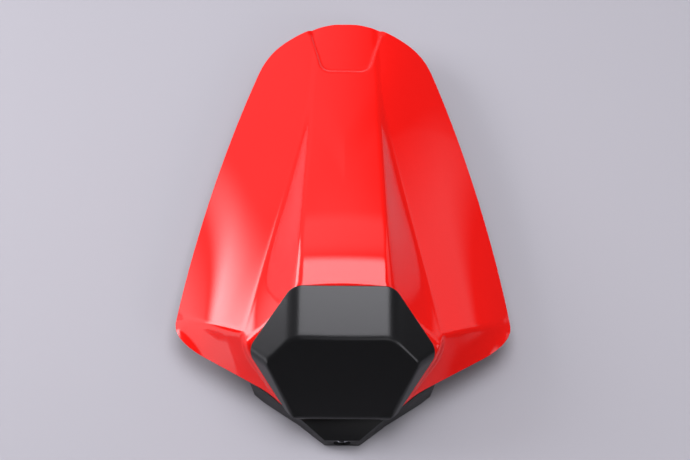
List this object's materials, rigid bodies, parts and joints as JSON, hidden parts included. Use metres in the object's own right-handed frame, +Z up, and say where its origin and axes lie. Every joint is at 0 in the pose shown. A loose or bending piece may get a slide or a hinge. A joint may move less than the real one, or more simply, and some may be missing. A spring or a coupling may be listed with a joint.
{
  "type": "seat cowl",
  "caption": "Motorbike single-seat cowl: gloss red moulded shell with a six-sided matt black backrest pad, on a black base tray with a bolt tongue at the front.",
  "frame": {"origin": "centre of the bounding box's underside, on the ground plane the bumpers stand on", "axes": "+Y towards the tail, +Z up, X across; the bolt tongue points along -Y"},
  "size_m": [0.256, 0.349, 0.0945],
  "materials": {
    "shell_paint": "gloss red paint under clear lacquer on moulded plastic",
    "tray_plastic": "fine-grained moulded black plastic",
    "pad_skin": "matt fine-grained skin over closed-cell foam",
    "adhesive_sheet": "double-sided foam tape",
    "sleeve_steel": "turned steel, zinc plated",
    "screw_steel": "zinc-plated steel",
    "bumper_rubber": "moulded black rubber",
    "strip_foam": "dark closed-cell foam"
  },
  "bodies": {
    "root": {"cowl_shell": "shell_paint", "base_tray": "tray_plastic", "backrest_pad": "pad_skin", "pad_adhesive": "adhesive_sheet", "lip_sleeve": "sleeve_steel", "tray_screw_1": "screw_steel", "tray_screw_2": "screw_steel", "tray_screw_3": "screw_steel", "tray_screw_4": "screw_steel", "tray_screw_5": "screw_steel", "tray_screw_6": "screw_steel", "tray_screw_7": "screw_steel", "tray_screw_8": "screw_steel", "bumper_1": "bumper_rubber", "bumper_2": "bumper_rubber", "bumper_3": "bumper_rubber", "bumper_4": "bumper_rubber", "foam_strip_left": "strip_foam", "foam_strip_right": "strip_foam", "foam_strip_rear": "strip_foam"}
  },
  "joints": []
}
